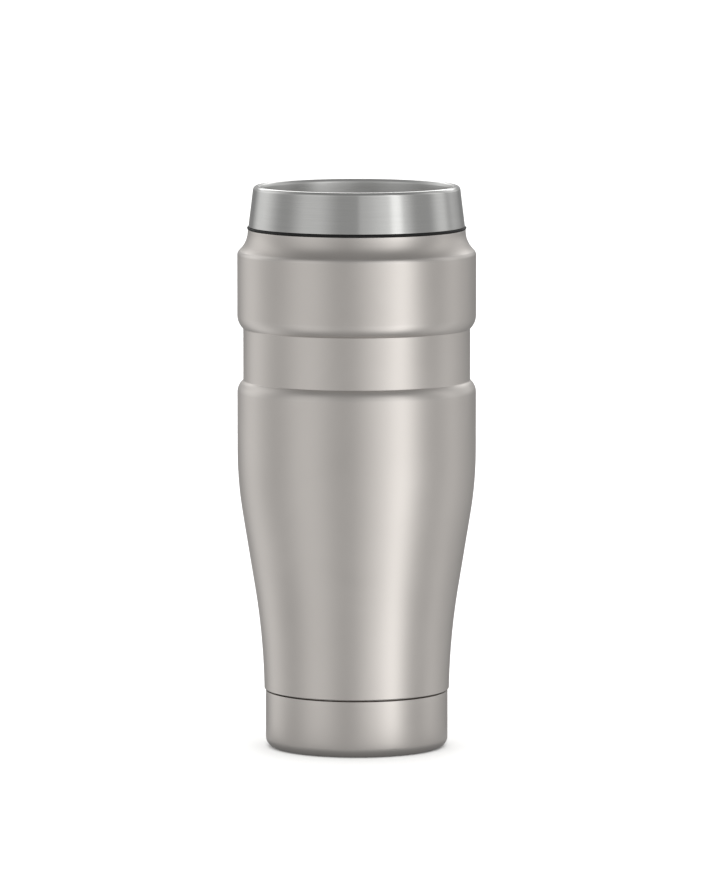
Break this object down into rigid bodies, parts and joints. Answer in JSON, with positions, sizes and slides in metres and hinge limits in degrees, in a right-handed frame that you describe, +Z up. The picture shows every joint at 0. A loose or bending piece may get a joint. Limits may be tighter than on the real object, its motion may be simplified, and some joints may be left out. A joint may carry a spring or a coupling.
{
  "type": "insulated travel mug",
  "caption": "Tapered double-walled steel travel mug with a grip groove, a small base cup that enters a cup holder, and a screw-in steel-rimmed lid with a turning drink valve.",
  "frame": {"origin": "centre of the base, on the surface the mug stands on", "axes": "+Z up along the mug's axis; -Y is the drinking side, where the deck's sip port is"},
  "size_m": [0.083, 0.083, 0.196],
  "materials": {
    "satin_steel": "fine bead-blasted satin",
    "cover_disc_steel": "radially brushed",
    "vessel_steel": "electropolished, drawn",
    "polished_steel": "polished, fine turned lines inside",
    "spring_steel": "drawn wire",
    "shield_foil": "bright rolled foil",
    "getter_alloy": "sintered",
    "solder_glass": "dark fired glass",
    "black_plastic": "moulded polypropylene",
    "dial_plastic": "moulded polypropylene, fine texture",
    "black_silicone": "moulded silicone",
    "grey_silicone": "moulded silicone"
  },
  "bodies": {
    "mug": {"outer_shell": "satin_steel", "base_cup": "satin_steel", "base_cover": "cover_disc_steel", "inner_vessel": "vessel_steel", "inner_bottom": "vessel_steel", "heat_shield": "shield_foil", "getter": "getter_alloy", "vacuum_seal": "solder_glass"},
    "seal": {"neck_seal": "black_silicone"},
    "lid": {"lid_cover": "polished_steel", "lid_body": "black_plastic", "plug_cap": "black_plastic", "plug_seal": "black_silicone", "port_gasket": "grey_silicone", "vent_gasket": "grey_silicone"},
    "dial": {"drink_dial": "dial_plastic", "spindle_o_ring": "black_silicone", "dial_spring": "spring_steel", "spring_washer": "spring_steel", "retainer_screw": "spring_steel"}
  },
  "joints": [
    {"name": "lid_rise", "type": "slide", "parent": "mug", "child": "seal", "axis": [0, 0, 1], "range_m": [0, 0.024]},
    {"name": "lid_unscrew", "type": "hinge", "parent": "seal", "child": "lid", "pos_m": [0, 0, 0.1825], "axis": [0, 0, 1], "range_deg": [0, 720]},
    {"name": "dial_turn", "type": "hinge", "parent": "lid", "child": "dial", "pos_m": [0, 0, 0.1814], "axis": [0, 0, 1], "range_deg": [0, 90]}
  ],
  "couplings": [
    {"joint": "lid_rise", "follows": "lid_unscrew", "m_per_rad": 0.0019098}
  ]
}
